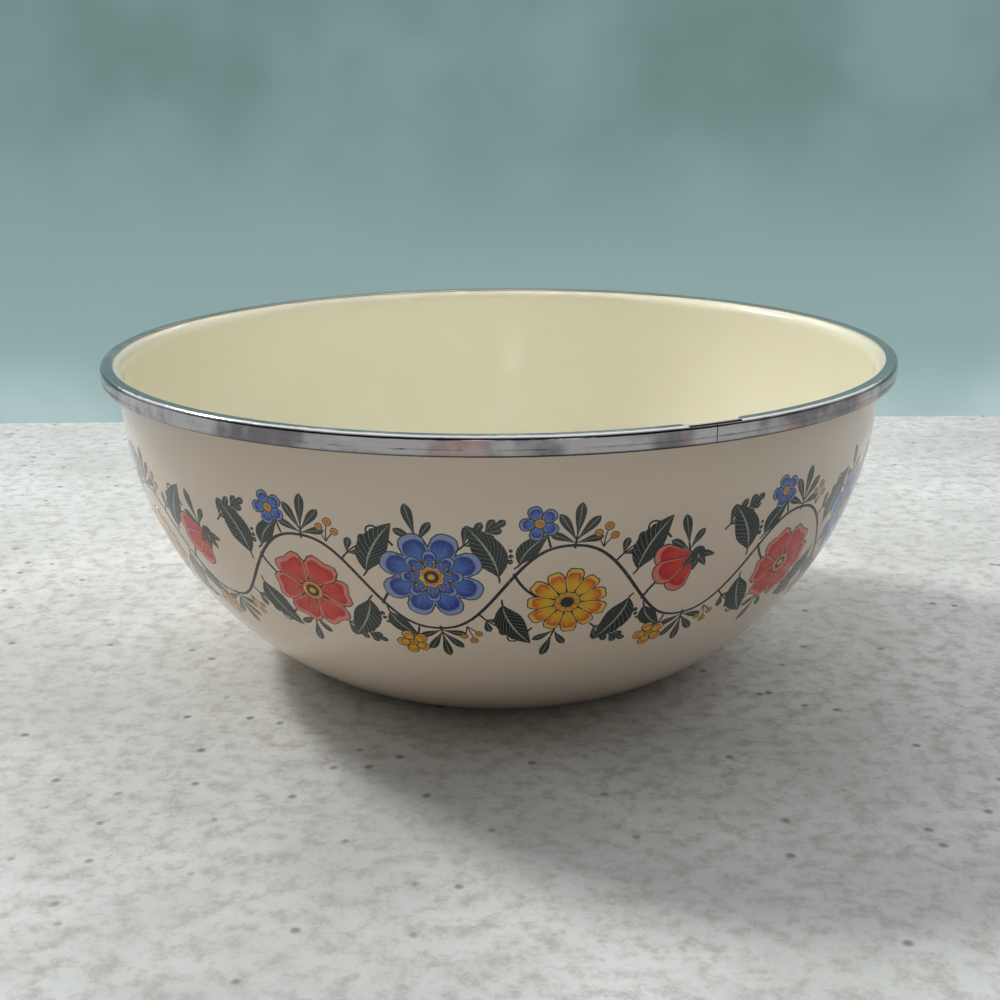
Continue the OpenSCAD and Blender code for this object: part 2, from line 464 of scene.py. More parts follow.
class Effects:
    """The effects that the bowl's finishes share."""

    def __init__(self) -> None:
        """Builds every shared group once."""
        self.fired_glaze = self._fired_glaze()
        self.handling = self._handling()
        self.rolled_marks = self._rolled_marks()
        self.brushed_ink = self._brushed_ink()

    @staticmethod
    def _fired_glaze() -> EffectGroup:
        """Builds the gentle orange peel, the cloudiness and the pinholes of a fired glaze.

        Returns:
            The group.
        """
        group = EffectGroup(
            "fired_glaze",
            {"Vector": ("Vector", 0.0), "Peel Scale": ("Float", 260.0), "Pinhole Scale": ("Float", 55.0)},
            {"Height": "Float", "Cloud": "Float", "Pinhole": "Float"},
        )
        g, at = group.graph, group.source
        peel = g.noise(at["Vector"], 1.0, 1.0)
        g.tree.links.new(at["Peel Scale"], peel.node.inputs["Scale"])
        wave = g.noise(at["Vector"], 34.0, 1.0)
        spots = g.add("TexVoronoi", {"Vector": at["Vector"], "Scale": at["Pinhole Scale"]})
        rare = g.math("GREATER_THAN", g.add("SeparateColor", {0: spots.outputs["Color"]}).outputs[0], 0.9)
        hole = g.times(g.minus(1.0, g.ramp(spots.outputs["Distance"], 0.012, 0.035)), rare)
        height = g.plus(g.times(peel, 0.35), wave)
        group.give("Height", g.minus(height, g.times(hole, 0.5)))
        group.give("Cloud", g.noise(at["Vector"], 11.0, 3.0, 0.6))
        group.give("Pinhole", hole)
        return group

    @staticmethod
    def _handling() -> EffectGroup:
        """Builds the smudges and fine scratches of a glossy surface in use.

        Returns:
            The group.
        """
        inputs = {"Vector": ("Vector", 0.0), "Scratch Scale": ("Float", 60.0)}
        group = EffectGroup("handling", inputs, {"Smudge": "Float", "Scratch": "Float"})
        g, at = group.graph, group.source
        smudge = g.ramp(g.noise(at["Vector"], 26.0, 4.0, 0.65), 0.45, 0.75)
        sway = g.add("TexNoise", {"Vector": at["Vector"], "Scale": 7.0}).outputs[1]
        warped = g.add("VectorMath", {0: at["Vector"], 1: sway}, operation="ADD").outputs[0]
        cells = g.add("TexVoronoi", {"Vector": warped, "Scale": at["Scratch Scale"]}, feature="DISTANCE_TO_EDGE")
        line = g.minus(1.0, g.ramp(cells.outputs["Distance"], 0.0, 0.012))
        group.give("Smudge", smudge)
        group.give("Scratch", g.times(line, g.ramp(g.noise(at["Vector"], 45.0, 2.0), 0.55, 0.7)))
        return group

    @staticmethod
    def _rolled_marks() -> EffectGroup:
        """Builds the fine lines along a rolled strip and its slow dents.

        Returns:
            The group.
        """
        group = EffectGroup(
            "rolled_marks",
            {"Vector": ("Vector", 0.0), "Across Scale": ("Float", 2600.0)},
            {"Height": "Float", "Line": "Float", "Dent": "Float"},
        )
        g, at = group.graph, group.source
        place = g.add("SeparateXYZ", {0: at["Vector"]}).outputs
        out = g.math("SQRT", g.plus(g.times(place[0], place[0]), g.times(place[1], place[1])))
        across = g.times(g.plus(place[2], g.times(out, 0.83)), at["Across Scale"])
        along_x = g.times(place[0], 14.0)
        along_y = g.times(place[1], 14.0)
        lines = g.noise(g.add("CombineXYZ", {0: along_x, 1: along_y, 2: across}).outputs[0], 1.0, 3.0, 0.7)
        dents = g.noise(at["Vector"], 75.0, 3.0, 0.6)
        group.give("Line", lines)
        group.give("Dent", dents)
        group.give("Height", g.plus(g.times(lines, 0.02), dents))
        return group

    @staticmethod
    def _brushed_ink() -> EffectGroup:
        """Builds the drawn lines and brush streaks of one printed stroke from its own length and width.

        Returns:
            The group.
        """
        outputs = dict.fromkeys(("Line", "Streak", "Along", "Side", "Edge"), "Float")
        group = EffectGroup("brushed_ink", INK_INPUTS, outputs)
        g, at = group.graph, group.source
        place = g.add("SeparateXYZ", {0: at["Vector"]}).outputs
        side = g.math("ABSOLUTE", g.minus(place[1], 0.5))
        slant = g.times(g.minus(place[0], g.times(side, 0.55)), at["Slant"])
        count = g.plus(g.times(place[1], at["Lines"]), slant)
        near = g.math("ABSOLUTE", g.minus(g.math("FRACT", count), 0.5))
        length = g.plus(at["Line To"], g.times(g.math("SINE", g.times(count, 11.0)), 0.1))
        fade = g.minus(1.0, g.math("DIVIDE", g.minus(place[0], at["Line From"]), length), clamp=True)
        width = g.times(at["Line Width"], fade)
        line = g.minus(1.0, g.math("DIVIDE", near, g.math("MAXIMUM", width, 0.001)), clamp=True)
        started = g.math("GREATER_THAN", place[0], at["Line From"])
        stretched = g.add("Mapping", {"Vector": at["Vector"], "Scale": (2.2, 17.0, 1.0)}).outputs[0]
        group.give("Line", g.times(g.ramp(line, 0.05, 0.6), started))
        group.give("Streak", g.noise(stretched, 1.0, 3.0, 0.6))
        group.give("Along", place[0])
        group.give("Side", side)
        rim = g.math("MAXIMUM", g.times(side, 2.0), place[0])
        group.give("Edge", g.ramp(rim, 0.84, 0.9))
        return group


EFFECTS = Effects()
PEEL_STRENGTH, PEEL_DEPTH = 0.6, 0.00004
COAT_WEIGHT, COAT_ROUGHNESS = 0.25, 0.05


@dataclass(frozen=True)
class Finish:
    """A finish: a material with one Principled shader, and what goes into the shader's inputs."""

    name: str
    colour: Colour

    def inputs(self, g: Graph, at: Socket) -> dict[str, object]:
        """Works out the inputs: a socket for what changes over the surface, and a plain value for what doesn't.

        Args:
            g: The material's graph.
            at: The place on the object.

        Returns:
            The inputs by name.
        """
        raise NotImplementedError

    def build(self) -> bpy.types.Material:
        """Builds the material.

        Returns:
            The material.
        """
        material = bpy.data.materials.new(self.name)
        material.use_nodes = True
        g = Graph(material.node_tree)
        at = g.add("TexCoord").outputs["Object"]
        g.feed(material.node_tree.nodes["Principled BSDF"], self.inputs(g, at))
        return material


@dataclass(frozen=True)
class EnamelFinish(Finish):
    """Glossy fired enamel, a little cloudy, with fine orange peel, rare pinholes and light handling marks."""

    shade: Colour
    fleck: Colour
    roughness: float = 0.13
    gloss: float = 0.5
    coat: float = COAT_WEIGHT

    def inputs(self, g: Graph, at: Socket) -> dict[str, object]:
        """Works out the shader's inputs.

        Args:
            g: The material's graph.
            at: The place on the object.

        Returns:
            The inputs by name.
        """
        glaze = EFFECTS.fired_glaze.place(g, {"Vector": at})
        marks = EFFECTS.handling.place(g, {"Vector": at})
        body = g.mix(g.ramp(glaze["Cloud"], 0.3, 0.75), self.colour, self.shade)
        colour = g.mix(g.times(glaze["Pinhole"], 0.85), body, self.fleck)
        rough = g.plus(g.times(marks["Smudge"], 0.07), self.roughness)
        rough = g.plus(rough, g.times(marks["Scratch"], 0.12))
        relief = g.bump(PEEL_STRENGTH, PEEL_DEPTH, g.minus(glaze["Height"], g.times(marks["Scratch"], 0.03)))
        surface = {"Base Color": colour, "Roughness": rough, "Normal": relief}
        return {**surface, "Specular IOR Level": self.gloss, "Coat Weight": self.coat, "Coat Roughness": COAT_ROUGHNESS}


@dataclass(frozen=True)
class StainlessFinish(Finish):
    """Bright rolled stainless steel with fine lines along the strip, slow dents and dull patches, with a painted
    highlight along its crown and painted shade along its hem.
    """

    dull: Colour
    crown_z: float
    hem_z: float
    # Heights over which the painted highlight at the crown and the painted shade at the hem fade in.
    crown_highlight_fade: Point = (0.0005, 0.0001)
    hem_shade_fade: Point = (0.0009, 0.0002)
    blush: Colour = srgb(188, 150, 144)
    # Painted highlight: the light colour laid along the strip's crown.
    crown: Colour = srgb(212, 210, 211)
    # Painted shade: the dark colour laid along the strip's hem, where the gap under it is in shadow.
    painted_hem_shade: Colour = srgb(58, 54, 54)
    roughness: float = 0.16
    dent_depth: float = 0.0005

    def inputs(self, g: Graph, at: Socket) -> dict[str, object]:
        """Works out the shader's inputs.

        Args:
            g: The material's graph.
            at: The place on the object.

        Returns:
            The inputs by name.
        """
        rolled = EFFECTS.rolled_marks.place(g, {"Vector": at})
        marks = EFFECTS.handling.place(g, {"Vector": at, "Scratch Scale": 190.0})
        z = g.add("SeparateXYZ", {0: at}).outputs[2]
        patch = g.ramp(g.noise(at, 42.0, 4.0, 0.62), 0.4, 0.6)
        tone = g.mix(patch, self.colour, self.dull)
        tone = g.mix(g.times(g.ramp(rolled["Line"], 0.5, 0.75), 0.3), tone, self.dull)
        tone = g.mix(g.times(g.ramp(g.noise(at, 60.0, 2.0), 0.55, 0.66), 0.5), tone, self.blush)
        # Painted highlight: the strip turns to a light colour towards its crown.
        crown_highlight_share = g.ramp(z, *(self.crown_z - below for below in self.crown_highlight_fade))
        # Painted shade: the strip turns dark towards its hem, where the gap under it is in shadow.
        hem_shade_share = g.ramp(z, *(self.hem_z + above for above in self.hem_shade_fade))
        tone = g.mix(hem_shade_share, g.mix(crown_highlight_share, tone, self.crown), self.painted_hem_shade)
        rough = g.plus(g.times(g.ramp(rolled["Line"], 0.3, 0.8), 0.06), self.roughness - 0.06)
        rough = g.plus(rough, g.times(marks["Smudge"], 0.12))
        relief = g.bump(0.8, self.dent_depth, rolled["Height"])
        return {"Base Color": tone, "Roughness": rough, "Normal": relief, "Metallic": 1.0}


@dataclass(frozen=True)
class PlainSteelFinish(Finish):
    """Bare pressed sheet, as it is under the enamel."""

    dull: Colour

    def inputs(self, g: Graph, at: Socket) -> dict[str, object]:
        """Works out the shader's inputs.

        Args:
            g: The material's graph.
            at: The place on the object.

        Returns:
            The inputs by name.
        """
        rolled = EFFECTS.rolled_marks.place(g, {"Vector": at, "Across Scale": 900.0})
        tone = g.mix(rolled["Line"], self.colour, self.dull)
        return {"Base Color": tone, "Roughness": g.plus(g.times(rolled["Dent"], 0.2), 0.35), "Metallic": 1.0}


@dataclass(frozen=True)
class InkFinish(Finish):
    """One ink of the transfer, under the gloss of the enamel that it is fired into."""

    tip: Colour
    line: Colour
    lines: float = 5.0
    line_width: float = 0.1
    line_from: float = 0.04
    line_to: float = 0.62
    slant: float = 0.0
    midrib: float = 0.0
    edge: Colour | None = None

    def inputs(self, g: Graph, at: Socket) -> dict[str, object]:
        """Works out the shader's inputs.

        Args:
            g: The material's graph.
            at: The place on the object.

        Returns:
            The inputs by name.
        """
        values = (g.add("UVMap").outputs[0], self.lines, self.line_width, self.line_from, self.line_to, self.slant)
        ink = EFFECTS.brushed_ink.place(g, dict(zip(INK_INPUTS, values)))
        glaze = EFFECTS.fired_glaze.place(g, {"Vector": at})
        reach = g.plus(ink["Along"], g.times(g.minus(ink["Streak"], 0.5), 0.7))
        body = g.mix(g.ramp(reach, 0.45, 0.85), self.colour, self.tip)
        if self.edge:
            body = g.mix(g.times(ink["Edge"], 0.75), body, self.edge)
        drawn = g.mix(g.times(ink["Line"], 0.9), body, self.line)
        if self.midrib:
            rib = g.minus(1.0, g.ramp(ink["Side"], self.midrib * 0.5, self.midrib))
            drawn = g.mix(rib, drawn, self.line)
        colour = g.mix(g.times(glaze["Pinhole"], 0.5), drawn, self.line)
        rough = g.plus(g.times(ink["Streak"], 0.08), 0.11)
        relief = g.bump(PEEL_STRENGTH, PEEL_DEPTH, glaze["Height"])
        surface = {"Base Color": colour, "Roughness": rough, "Normal": relief}
        return {**surface, "Coat Weight": COAT_WEIGHT, "Coat Roughness": COAT_ROUGHNESS}


# --- the bowl's parts ---


def dress(piece: Piece, material: bpy.types.Material, slot: str, *nodes: str) -> Piece:
    """Gives a piece its material and its body, and lets it stand for solids.

    Args:
        piece: The object.
        material: Its material.
        slot: The record's material slot; not used.
        nodes: The solids that it replaces.

    Returns:
        The object.
    """
    piece.data.materials.clear()
    piece.data.materials.append(material)
    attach(piece, BODY)
    if nodes:
        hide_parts(*nodes)
    log.info("%s: %d faces", piece.name, len(piece.data.polygons))
    return piece


@dataclass
class EnamelledSheet:
    """The pressed bowl: its two coats of enamel, the steel between them and the bead round its turned edge."""

    sizes: BowlSizes = SIZES
    inside: EnamelFinish = EnamelFinish(
        "cream_enamel", srgb(241, 238, 214), srgb(237, 233, 207), srgb(120, 108, 84), roughness=0.1
    )
    outside: EnamelFinish = EnamelFinish(
        "off_white_enamel", srgb(235, 224, 210), srgb(230, 218, 203), srgb(96, 84, 74), roughness=0.14
    )
    bead: EnamelFinish = EnamelFinish(
        "black_enamel", srgb(20, 20, 23), srgb(30, 29, 32), srgb(90, 88, 86), roughness=0.5, gloss=0.02, coat=0.0
    )
    steel: PlainSteelFinish = PlainSteelFinish("pressed_steel", srgb(150, 152, 156), srgb(118, 120, 124))
    base_steps: int = 4
    foot_steps: int = 10
    wall_steps: int = 40
    collar_steps: int = 2
    flare_steps: int = 12
    bend_steps: int = 5
    edge_steps: int = 4

    def _wall(self, outline: Outline, depth: float, up: bool) -> Outline:
        """Draws the base, the foot, the wall and the flare at one depth, upwards or downwards.

        Args:
            outline: The outline that is drawn on.
            depth: Depth below the bowl's outer surface.
            up: Whether it runs from the base to the crown.

        Returns:
            The outline.
        """
        s = self.sizes
        foot, wall = (s.base_d / 2, s.foot_r), (s.wall_x, s.wall_z)
        if up:
            outline.line(s.base_d / 2, depth, self.base_steps)
            outline.arc(foot, 90 + s.foot_deg, self.foot_steps).arc(wall, -s.foot_deg, self.wall_steps)
            return outline.line(s.mouth_r - depth, s.flare[1], self.collar_steps).arc(s.flare, -90, self.flare_steps)
        outline.arc(s.flare, 90, self.flare_steps).line(s.mouth_r - depth, s.wall_z, self.collar_steps)
        outline.arc(wall, s.foot_deg, self.wall_steps).arc(foot, -90 - s.foot_deg, self.foot_steps)
        return outline.line(0.0, depth, self.base_steps)

    def outer_coat(self) -> Piece:
        """Models the coat outside, which ends under the turned rim.

        Returns:
            The object.
        """
        s = self.sizes
        outline = self._wall(Outline("outer_enamel", 0.0, 0.0), 0.0, True)
        outline.line(s.bend[0], s.crown_z).arc(s.bend, -90, self.bend_steps)
        outline.line(outline.x + s.coat_t, outline.z).arc(s.bend, 90, self.bend_steps)
        outline.line(s.flare[0], s.crown_z + s.coat_t)
        return self._wall(outline, s.coat_t, False).turned(s.turn_steps)

    def inner_coat(self) -> Piece:
        """Models the coat inside, which ends in a rounded edge on the crown.

        Returns:
            The object.
        """
        s = self.sizes
        near, far = s.coat_t + s.steel_t, s.wall_t
        half = s.coat_t / 2
        end = s.flare[0] + s.cream_edge_w - half
        outline = self._wall(Outline("inner_enamel", 0.0, near), near, True)
        outline.line(end, s.crown_z + near).arc((end, s.crown_z + near + half), 180, self.edge_steps)
        outline.line(s.flare[0], s.crown_z + far)
        return self._wall(outline, far, False).turned(s.turn_steps)

    def build(self) -> None:
        """Builds and dresses the coats, and dresses the steel and the bead."""
        dress(self.outer_coat(), self.outside.build(), "off_white_enamel", "exterior_enamel")
        dress(self.inner_coat(), self.inside.build(), "cream_enamel", "interior_enamel")
        for node, finish in (("steel_shell", self.steel), ("rim_bead", self.bead)):
            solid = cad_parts[node]
            material = finish.build()
            for slot in solid.material_slots:
                slot.material = material
            log.info("%s: dressed as a solid", node)


@dataclass
class RimStrip:
    """The stainless strip rolled over the rim, with its ends butted and its lip notched there."""

    sizes: BowlSizes = SIZES
    corner_r: float = 0.0011
    crease_z: float = 0.0009
    crease_depth: float = 0.00005
    crease_half_w: float = 0.0002
    notch_l: float = 0.0195
    notch_slant_l: float = 0.0022
    notch_land_w: float = 0.0003
    cut_clearance: float = 0.002
    lip_steps: int = 4
    crown_steps: int = 2
    corner_steps: int = 12
    bend_steps: int = 12
    hem_steps: int = 10
    finish: StainlessFinish = StainlessFinish(
        "stainless_strip", srgb(182, 180, 182), srgb(122, 119, 124), SIZES.bowl_h, SIZES.bowl_h - SIZES.strip_h
    )

    def section(self) -> Outline:
        """Draws the strip's section, down its outer side from the lip and back up its inner side.

        Returns:
            The outline.
        """
        s = self.sizes
        near, far = s.wall_t + s.strip_gap, s.wall_t + s.strip_gap + s.strip_t
        edge = (s.edge_x, s.edge_z)
        lip = math.radians(90 + s.lip_deg)
        reach = s.flare_r + far
        lip_x, lip_z = s.flare[0] + reach * math.cos(lip), s.flare[1] + reach * math.sin(lip)
        face_x, back_x = s.bend[0] + s.bend_r + far, s.bend[0] + s.bend_r + near
        crease = s.bend[1] - self.crease_z
        outline = Outline("rim_strip", lip_x, lip_z)
        corner = (face_x - self.corner_r, s.bowl_h - self.corner_r)
        outline.arc(s.flare, -s.lip_deg, self.lip_steps).line(corner[0], s.bowl_h, self.crown_steps)
        outline.arc(corner, -90, self.corner_steps)
        outline.line(face_x, crease + self.crease_half_w).line(face_x - self.crease_depth, crease)
        outline.line(face_x, crease - self.crease_half_w).line(face_x, s.edge_z)
        outline.arc(edge, -90, self.hem_steps).line(s.edge_x - s.hem_w, s.edge_z - s.hem_r - s.strip_t)
        outline.line(outline.x, outline.z + s.strip_t).line(s.edge_x, outline.z)
        outline.arc(edge, 90, self.hem_steps).line(back_x, s.bend[1]).arc(s.bend, 90, self.bend_steps)
        outline.line(s.flare[0], s.crown_z + near, self.crown_steps)
        return outline.arc(s.flare, s.lip_deg, self.lip_steps).line(lip_x, lip_z)

    def notch_cutter(self) -> Piece:
        """Models what is trimmed away at the seam: a slab with slanted ends and a round outer side.

        Returns:
            The cutter.
        """
        s = self.sizes
        reach = s.flare_r + s.wall_t + s.strip_gap + s.strip_t
        lip_r = s.flare[0] - reach * math.sin(math.radians(s.lip_deg))
        notch_r = s.rim_d / 2 - self.notch_land_w
        low, high = s.edge_z, s.bowl_h + self.cut_clearance
        slab = primitive(bpy.ops.mesh.primitive_cube_add, size=1.0)
        near, far = lip_r - self.cut_clearance, notch_r + self.cut_clearance
        slope = self.notch_slant_l / (notch_r - lip_r)
        for vertex in slab.data.vertices:
            out = far if vertex.co.x > 0 else near
            half = self.notch_l / 2 - max(0.0, min(out, notch_r) - lip_r) * slope
            vertex.co = (out, math.copysign(half, vertex.co.y), high if vertex.co.z > 0 else low)
        add, middle = bpy.ops.mesh.primitive_cylinder_add, (0.0, 0.0, high / 2)
        drum = primitive(add, middle, vertices=2 * s.turn_steps, radius=notch_r, depth=high)
        apply_modifier(slab, "BOOLEAN", operation="INTERSECT", solver="EXACT", object=drum)
        bpy.data.objects.remove(drum)
        slab.data.transform(Matrix.Rotation(math.radians(s.seam_deg), 4, "Z"))
        return slab

    def seam_cutter(self) -> Piece:
        """Models the gap between the strip's ends.

        Returns:
            The cutter.
        """
        s = self.sizes
        slit = primitive(bpy.ops.mesh.primitive_cube_add, size=1.0)
        long, inset = 12 * MM, 3 * MM
        slit.data.transform(Matrix.Diagonal((long, s.seam_gap, long, 1.0)))
        slit.data.transform(Matrix.Translation((s.rim_d / 2 - inset, 0.0, s.bowl_h - inset)))
        slit.data.transform(Matrix.Rotation(math.radians(s.seam_deg), 4, "Z"))
        return slit

    def build(self) -> None:
        """Turns the section round, cuts the seam and the notch and dresses the strip."""
        strip = self.section().turned(self.sizes.turn_steps)
        for cutter in (self.notch_cutter(), self.seam_cutter()):
            apply_modifier(strip, "BOOLEAN", operation="DIFFERENCE", solver="EXACT", object=cutter)
            bpy.data.objects.remove(cutter)
        only(strip)
        bpy.ops.object.shade_smooth_by_angle(angle=math.radians(SMOOTH_DEG))
        dress(strip, self.finish.build(), "stainless_strip", "rim_band")


# --- the flower transfer ---


class Ink(Enum):
    """The inks of the transfer, in the order in which they are printed."""

    LINE = "ink_line"
    LEAF = "ink_leaf"
    RED = "ink_red"
    BLUE = "ink_blue"
    YELLOW = "ink_yellow"
    BROWN = "ink_brown"


@dataclass(frozen=True)
class Spot:
    """A place on the flat transfer, with a turn and a size, at which a motif is drawn."""

    x: float
    y: float
    turn_deg: float = 0.0
    size: float = 1.0

    def put(self, x: Numbers, y: Numbers) -> tuple[Numbers, Numbers]:
        """Moves a motif's own points here.

        Args:
            x: Along the motif.
            y: Across the motif.

        Returns:
            The points on the transfer.
        """
        turn = math.radians(self.turn_deg)
        x, y = x * self.size, y * self.size
        return self.x + x * math.cos(turn) - y * math.sin(turn), self.y + x * math.sin(turn) + y * math.cos(turn)

    def spot(self, x: float, y: float, turn_deg: float = 0.0, size: float = 1.0) -> "Spot":
        """Gives another spot, with its own turn and size, at a place in this one's measure.

        Args:
            x: Along the motif.
            y: Across the motif.
            turn_deg: The new spot's turn.
            size: The new spot's size.

        Returns:
            The spot.
        """
        return Spot(*self.put(x, y), turn_deg, size)

    def turned(self, turn_deg: float) -> "Spot":
        """Gives the same spot with a further turn."""
        return Spot(self.x, self.y, self.turn_deg + turn_deg, self.size)


@dataclass
class Stroke:
    """One stroke of ink: a grid that a rule bends to its shape, at one of the layers of the print."""

    ink: Ink
    layer: int
    along: int
    across: int
    rule: Rule


@dataclass(frozen=True)
class Blade:
    """A kind of leaf or brush stroke: its layer, its steps, and how it bends and swells from foot to tip."""

    layer: int
    steps: tuple[int, int]
    bends: tuple[Point, ...]
    swell: tuple[float, ...]


LEAF = Blade(
    2, (14, 4), ((0, 0), (0.3, -1), (0.7, -0.2), (1, 1)), (0.03, 0.5, 0.86, 1.0, 0.97, 0.84, 0.62, 0.34, 0.02)
)
COMMA = Blade(1, (11, 2), ((0, 0), (0.35, 0.1), (0.75, 0.5), (1, 1)), (0.1, 0.26, 0.5, 0.78, 0.97, 1.0, 0.8, 0.12))
SEPAL = Blade(8, (6, 2), ((0, 0), (0.3, 0), (0.7, 0), (1, 0)), (0.4, 0.9, 1.0, 0.7, 0.05))


class Sheet:
    """The flat transfer: strokes of every ink, drawn in millimetres."""

    def __init__(self) -> None:
        """Starts an empty sheet."""
        self.strokes: list[Stroke] = []

    def outlined(self, ink: Ink, layer: int, steps: tuple[int, int], line_w: float, rule: Callable) -> None:
        """Draws a form over a slightly larger one in line ink.

        Args:
            ink: The form's ink.
            layer: The layer of the line ink, one below the form's.
            steps: Steps along and across the form.
            line_w: How much larger the form in line ink is.
            rule: The form's rule, which also takes how much larger it is made.
        """
        for each, height, grow in ((Ink.LINE, layer, line_w), (ink, layer + 1, 0.0)):
            self.strokes.append(Stroke(each, height, *steps, partial(rule, grow=grow)))

    def petal(
        self,
        ink: Ink,
        layer: int,
        spot: Spot,
        angle: float,
        near: float,
        far: float,
        half: float,
        dip: float,
        tip: float,
    ) -> None:
        """Draws a petal that widens from the middle of a flower, over a slightly larger one in line ink.

        Args:
            ink: Its ink.
            layer: Its layer.
            spot: The flower's place.
            angle: Its direction in degrees.
            near: Where it starts.
            far: Where it ends.
            half: Half of its angle in degrees.
            dip: How deep its end is notched, as a share of its reach.
            tip: How far its sides fall short of its end, as a share of its reach.
        """

        def rule(s: Numbers, t: Numbers, grow: float) -> tuple[Numbers, Numbers]:
            """Bends a grid to the petal.

            Args:
                s: Shares of the way out, 0 to 1.
                t: Shares of the way across, -1 to 1.
                grow: How much larger the petal is made.

            Returns:
                The points on the transfer.
            """
            reach = far * (1 - tip * np.abs(t) ** 3 - dip * (1 - t**2) ** 6) + grow
            r = near - grow + (reach - near + grow) * s
            spread = math.radians(half) * np.sin(np.pi / 2 * np.minimum(1.0, 0.28 + 0.9 * s))
            turn = math.radians(angle) + t * (spread + grow / np.maximum(r, 2.0))
            return spot.put(r * np.cos(turn), r * np.sin(turn))

        self.outlined(ink, layer, (8, 8), 0.32, rule)

    def disc(self, ink: Ink, layer: int, spot: Spot, radius: float, lobes: int = 0, depth: float = 0.0) -> None:
        """Draws a disc, or a lobed one, over a slightly larger one in line ink.

        Args:
            ink: Its ink.
            layer: Its layer.
            spot: Its place.
            radius: Its radius.
            lobes: Number of its lobes.
            depth: Depth between the lobes, as a share of the radius.
        """

        def rule(s: Numbers, t: Numbers, grow: float) -> tuple[Numbers, Numbers]:
            """Bends a grid to the disc.

            Args:
                s: Shares of the way out, 0 to 1.
                t: Shares of half a turn, -1 to 1.
                grow: How much larger the disc is made.

            Returns:
                The points on the transfer.
            """
            turn = np.pi * t
            r = (radius * (1 - depth * (0.5 - 0.5 * np.cos(lobes * turn))) + grow) * (0.02 + 0.98 * s)
            return spot.put(r * np.cos(turn), r * np.sin(turn))

        self.outlined(ink, layer, (2, max(14, 4 * lobes)), 0.25, rule)

    def ribbon(
        self,
        ink: Ink,
        layer: int,
        spot: Spot,
        bends: list[Point],
        widths: tuple[float, ...],
        along: int = 12,
        across: int = 1,
    ) -> None:
        """Draws a stroke along a smooth curve.

        Args:
            ink: Its ink.
            layer: Its layer.
            spot: Its place.
            bends: The four control points of the curve.
            widths: Half widths at equal steps along it.
            along: Steps along it.
            across: Steps across it.
        """
        p = np.array(bends, float)

        def rule(s: Numbers, t: Numbers) -> tuple[Numbers, Numbers]:
            """Bends a grid to the stroke.

            Args:
                s: Shares of the way along, 0 to 1.
                t: Shares of the way across, -1 to 1.

            Returns:
                The points on the transfer.
            """
            q = 1 - s
            x, y = (q**3 * a + 3 * q**2 * s * b + 3 * q * s**2 * c + s**3 * d for a, b, c, d in p.T)
            dx, dy = (3 * (q**2 * (b - a) + 2 * q * s * (c - b) + s**2 * (d - c)) for a, b, c, d in p.T)
            size = np.maximum(np.hypot(dx, dy), 1e-6)
            half = np.interp(s, np.linspace(0, 1, len(widths)), widths)
            return spot.put(x - t * half * dy / size, y + t * half * dx / size)

        self.strokes.append(Stroke(ink, layer, along, across, rule))

    def blade(self, kind: Blade, spot: Spot, length: float, width: float, sway: float = 0.0) -> None:
        """Draws a leaf, a comma-shaped brush stroke or a sepal.

        Args:
            kind: Its kind.
            spot: Its foot.
            length: Its length.
            width: Its width.
            sway: How far it bends to its left.
        """
        bends = [(length * along, sway * across) for along, across in kind.bends]
        self.ribbon(Ink.LEAF, kind.layer, spot, bends, tuple(width / 2 * share for share in kind.swell), *kind.steps)

    def leaf(self, spot: Spot, length: float, width: float, sway: float) -> None:
        """Draws a pointed leaf on a short stalk."""
        self.blade(LEAF, spot, length, width, sway)
        self.ribbon(Ink.LINE, 1, spot, [(-2.0, 0.6), (-1.2, 0.2), (-0.6, 0.0), (1.0, -0.1)], (0.22, 0.3, 0.3), 4)

    def fan(self, spot: Spot, count: int, reach: float, half_deg: float) -> None:
        """Draws a fan of bold comma strokes that spread from a short stalk.

        Args:
            spot: The foot of the stalk.
            count: Number of commas.
            reach: Length of the middle comma.
            half_deg: Half of the angle that they spread over.
        """
        self.ribbon(Ink.LINE, 1, spot, [(-1.5, 0), (0, 0), (1, 0), (2.4, 0)], (0.34, 0.28), 3)
        for i in range(count):
            share = 2 * i / (count - 1) - 1
            lean = spot.spot(2.2 - 1.9 * abs(share), 0.35 * share, spot.turn_deg + half_deg * share, spot.size)
            self.blade(COMMA, lean, reach * (1 - 0.3 * abs(share) ** 1.4), 2.9 - 0.5 * abs(share), 1.3 * share)

    def sprig(self, spot: Spot, length: float, pairs: int, bend: float) -> None:
        """Draws a sprig: a thin bent stem with pairs of comma strokes that grow shorter, and one at its end.

        Args:
            spot: The foot of the stem.
            length: Length of the stem.
            pairs: Number of pairs of commas.
            bend: How far the stem bends to its left.
        """
        bends = [(0, 0), (length * 0.4, 0), (length * 0.7, bend * 0.4), (length, bend)]
        self.ribbon(Ink.LINE, 1, spot, bends, (0.3, 0.24, 0.16), 8)
        for i in range(pairs):
            share = (i + 0.6) / pairs
            x, y = length * share, bend * share**2
            long = (8.2 - 3.6 * share) * length / 13
            for side in (1, -1):
                lean = spot.turn_deg + side * (46 - 12 * share) + math.degrees(math.atan2(bend * 2 * share, length))
                foot = spot.spot(x, y + 0.06 * side, lean)
                self.blade(COMMA, foot, long * spot.size, 2.3 * spot.size, -side * 0.9)
        end = spot.spot(length, bend, spot.turn_deg + math.degrees(math.atan2(2 * bend, length)))
        self.blade(COMMA, end, 4.6 * spot.size, 2.2 * spot.size, 0.3)

    def tendril(self, spot: Spot, reach: float, curl: float, side: int) -> None:
        """Draws a thin tendril that ends in a spiral.

        Args:
            spot: Where it starts.
            reach: Its length up to the spiral.
            curl: Radius of the spiral.
            side: 1 if it curls to its left, -1 if to its right.
        """

